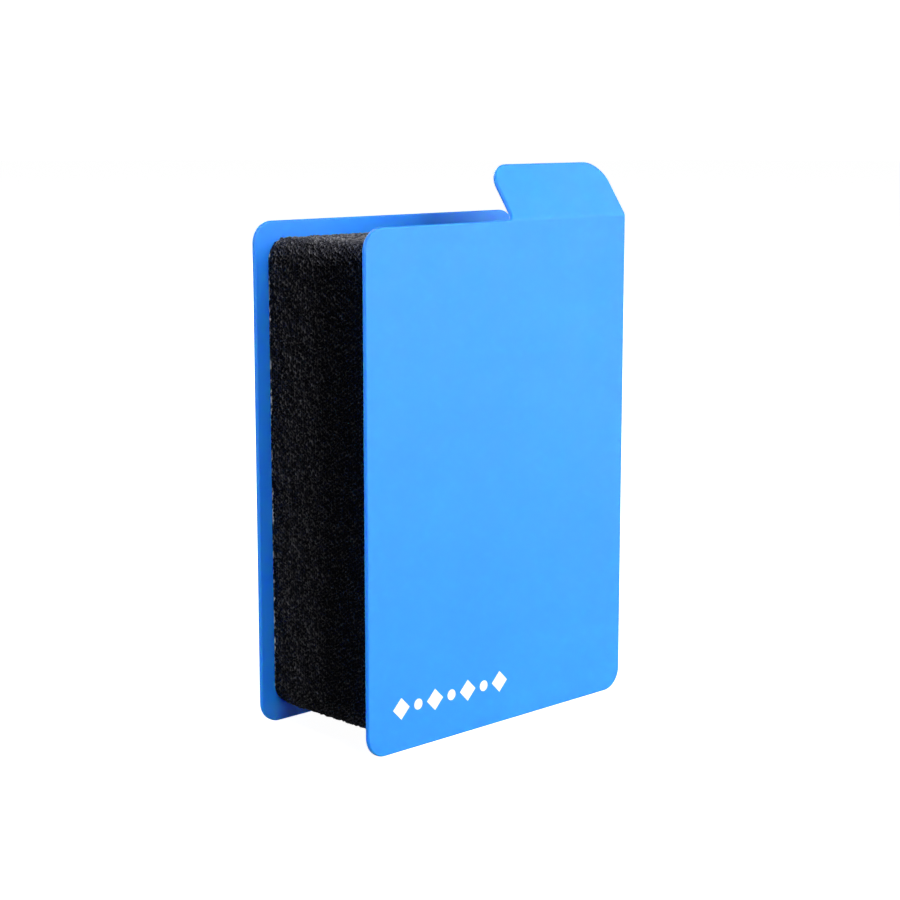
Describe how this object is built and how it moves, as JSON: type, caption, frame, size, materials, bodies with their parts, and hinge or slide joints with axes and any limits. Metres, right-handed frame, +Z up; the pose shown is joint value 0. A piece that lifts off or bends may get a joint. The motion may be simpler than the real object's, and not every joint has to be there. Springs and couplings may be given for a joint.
{
  "type": "card box divider",
  "caption": "Upright divider for a box of sleeved cards: plastic plates with a springy foam block glued between them, and an index tab bent back from the front plate.",
  "frame": {"origin": "middle of the footprint, on the surface that the plates' lower edges stand on", "axes": "+Z up the plates, +Y from the front plate with the index tab to the rear plate, +X to the right seen from the front"},
  "size_m": [0.0664, 0.0304, 0.1028],
  "materials": {
    "plate_plastic": "satin",
    "foam": "matte",
    "adhesive_film": "satin",
    "white_foil": "matte"
  },
  "bodies": {
    "rear_half": {"rear_plate": "plate_plastic", "rear_adhesive_sheet": "adhesive_film", "foam_block": "foam"},
    "front_half": {"front_plate": "plate_plastic", "front_adhesive_sheet": "adhesive_film", "printed_mark": "white_foil"}
  },
  "joints": [
    {"name": "foam_compression", "type": "slide", "parent": "rear_half", "child": "front_half", "axis": [0, 1, 0], "range_m": [0, 0.019], "stiffness_N_per_m": 900, "deforming": ["foam_block"]}
  ]
}
